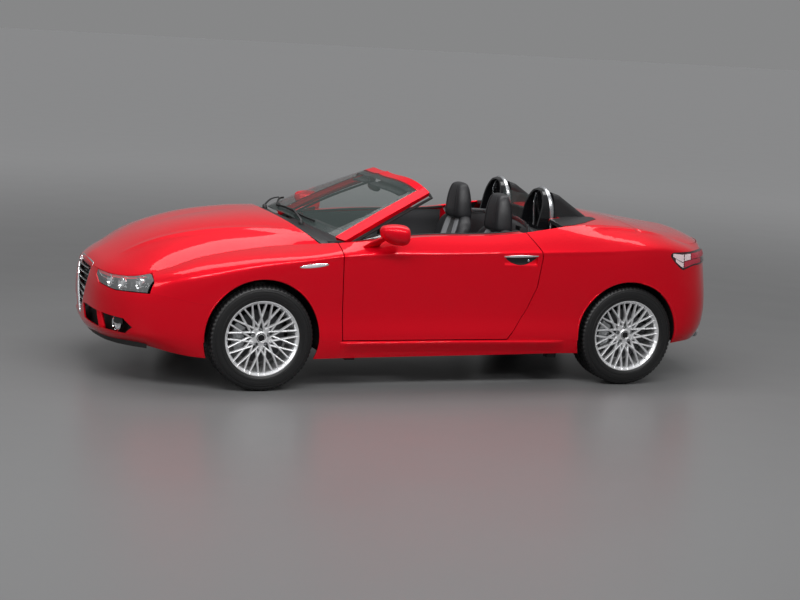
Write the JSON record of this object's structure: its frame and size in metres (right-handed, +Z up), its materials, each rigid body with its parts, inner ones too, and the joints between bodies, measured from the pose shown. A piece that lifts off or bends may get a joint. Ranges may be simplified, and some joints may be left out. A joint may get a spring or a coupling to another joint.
{
  "type": "convertible car",
  "caption": "Open two-seat front-engined convertible car with folding-roof cover, twin roll hoops, round headlamps and steering front wheels.",
  "frame": {"origin": "on the ground under the middle of the car's length and width", "axes": "+X points to the tail, +Y to the car's right side, +Z up"},
  "size_m": [4.3864, 2.145, 1.316],
  "materials": {
    "body_paint": "gloss",
    "structure": "satin",
    "trim_black": "matte",
    "soft_dark": "grained",
    "bright": "polished",
    "lamp_clear": "clear",
    "lamp_red": "tinted",
    "screen_glass": "clear",
    "alloy": "satin",
    "tyre_rubber": "matte",
    "brake_iron": "machined",
    "steel": "satin",
    "leather_dark": "grained",
    "engine_metal": "cast"
  },
  "bodies": {
    "car_body": {"platform": "structure", "front_bumper": "body_paint", "grille": "bright", "headlamps": "lamp_clear", "front_fenders": "body_paint", "side_skirts": "body_paint", "quarter_panels": "body_paint", "rear_bumper": "body_paint", "tail_lamps": "lamp_red", "cowl": "trim_black", "windscreen": "screen_glass", "windscreen_frame": "body_paint", "arch_liners": "trim_black", "subframes": "steel", "engine": "engine_metal", "seats": "leather_dark", "dashboard": "soft_dark", "console": "soft_dark", "steering_column": "trim_black", "roll_hoops": "steel", "wind_deflector": "screen_glass", "exhaust": "steel", "rear_knuckles": "brake_iron"},
    "bonnet": {"bonnet": "body_paint"},
    "boot_lid": {"boot_lid": "body_paint"},
    "tonneau": {"tonneau_cover": "body_paint", "hoop_fairings": "trim_black"},
    "door_left": {"door_left": "body_paint", "mirror_left": "body_paint"},
    "door_right": {"door_right": "body_paint", "mirror_right": "body_paint"},
    "steering_wheel": {"steering_wheel": "leather_dark"},
    "upright_fl": {"knuckle_fl": "brake_iron"},
    "upright_fr": {"knuckle_fr": "brake_iron"},
    "wheel_fl": {"tyre_fl": "tyre_rubber", "rim_fl": "alloy", "disc_fl": "brake_iron"},
    "wheel_fr": {"tyre_fr": "tyre_rubber", "rim_fr": "alloy", "disc_fr": "brake_iron"},
    "wheel_rl": {"tyre_rl": "tyre_rubber", "rim_rl": "alloy", "disc_rl": "brake_iron"},
    "wheel_rr": {"tyre_rr": "tyre_rubber", "rim_rr": "alloy", "disc_rr": "brake_iron"}
  },
  "joints": [
    {"name": "steer_fl", "type": "hinge", "parent": "car_body", "child": "upright_fl", "pos_m": [-1.211, -0.7395, 0.334], "axis": [0, 0, 1], "range_deg": [-35, 35]},
    {"name": "wheel_fl_spin", "type": "hinge", "parent": "upright_fl", "child": "wheel_fl", "pos_m": [-1.211, -0.7895, 0.334], "axis": [0, 1, 0], "continuous": true},
    {"name": "wheel_rl_spin", "type": "hinge", "parent": "car_body", "child": "wheel_rl", "pos_m": [1.317, -0.7795, 0.334], "axis": [0, 1, 0], "continuous": true},
    {"name": "steer_fr", "type": "hinge", "parent": "car_body", "child": "upright_fr", "pos_m": [-1.211, 0.7395, 0.334], "axis": [0, 0, 1], "range_deg": [-35, 35]},
    {"name": "wheel_fr_spin", "type": "hinge", "parent": "upright_fr", "child": "wheel_fr", "pos_m": [-1.211, 0.7895, 0.334], "axis": [0, 1, 0], "continuous": true},
    {"name": "wheel_rr_spin", "type": "hinge", "parent": "car_body", "child": "wheel_rr", "pos_m": [1.317, 0.7795, 0.334], "axis": [0, 1, 0], "continuous": true},
    {"name": "steering_wheel_turn", "type": "hinge", "parent": "car_body", "child": "steering_wheel", "pos_m": [-0.201, -0.366, 0.8], "axis": [0.9136, 0, 0.4067], "range_deg": [-420, 420]},
    {"name": "door_left_hinge", "type": "hinge", "parent": "car_body", "child": "door_left", "pos_m": [-0.655, -0.877, 0.6], "axis": [0, 0, -1], "range_deg": [0, 65]},
    {"name": "door_right_hinge", "type": "hinge", "parent": "car_body", "child": "door_right", "pos_m": [-0.655, 0.877, 0.6], "axis": [0, 0, 1], "range_deg": [0, 65]},
    {"name": "bonnet_hinge", "type": "hinge", "parent": "car_body", "child": "bonnet", "pos_m": [-0.819, 0, 0.912], "axis": [0, 1, 0], "range_deg": [0, 55]},
    {"name": "boot_lid_hinge", "type": "hinge", "parent": "car_body", "child": "boot_lid", "pos_m": [1.412, 0, 1.069], "axis": [0, -1, 0], "range_deg": [0, 65]},
    {"name": "tonneau_hinge", "type": "hinge", "parent": "car_body", "child": "tonneau", "pos_m": [1.406, 0, 1.069], "axis": [0, 1, 0], "range_deg": [0, 50]}
  ],
  "couplings": [
    {"joint": "steer_fr", "follows": "steer_fl", "ratio": 1},
    {"joint": "steering_wheel_turn", "follows": "steer_fl", "ratio": 12}
  ]
}
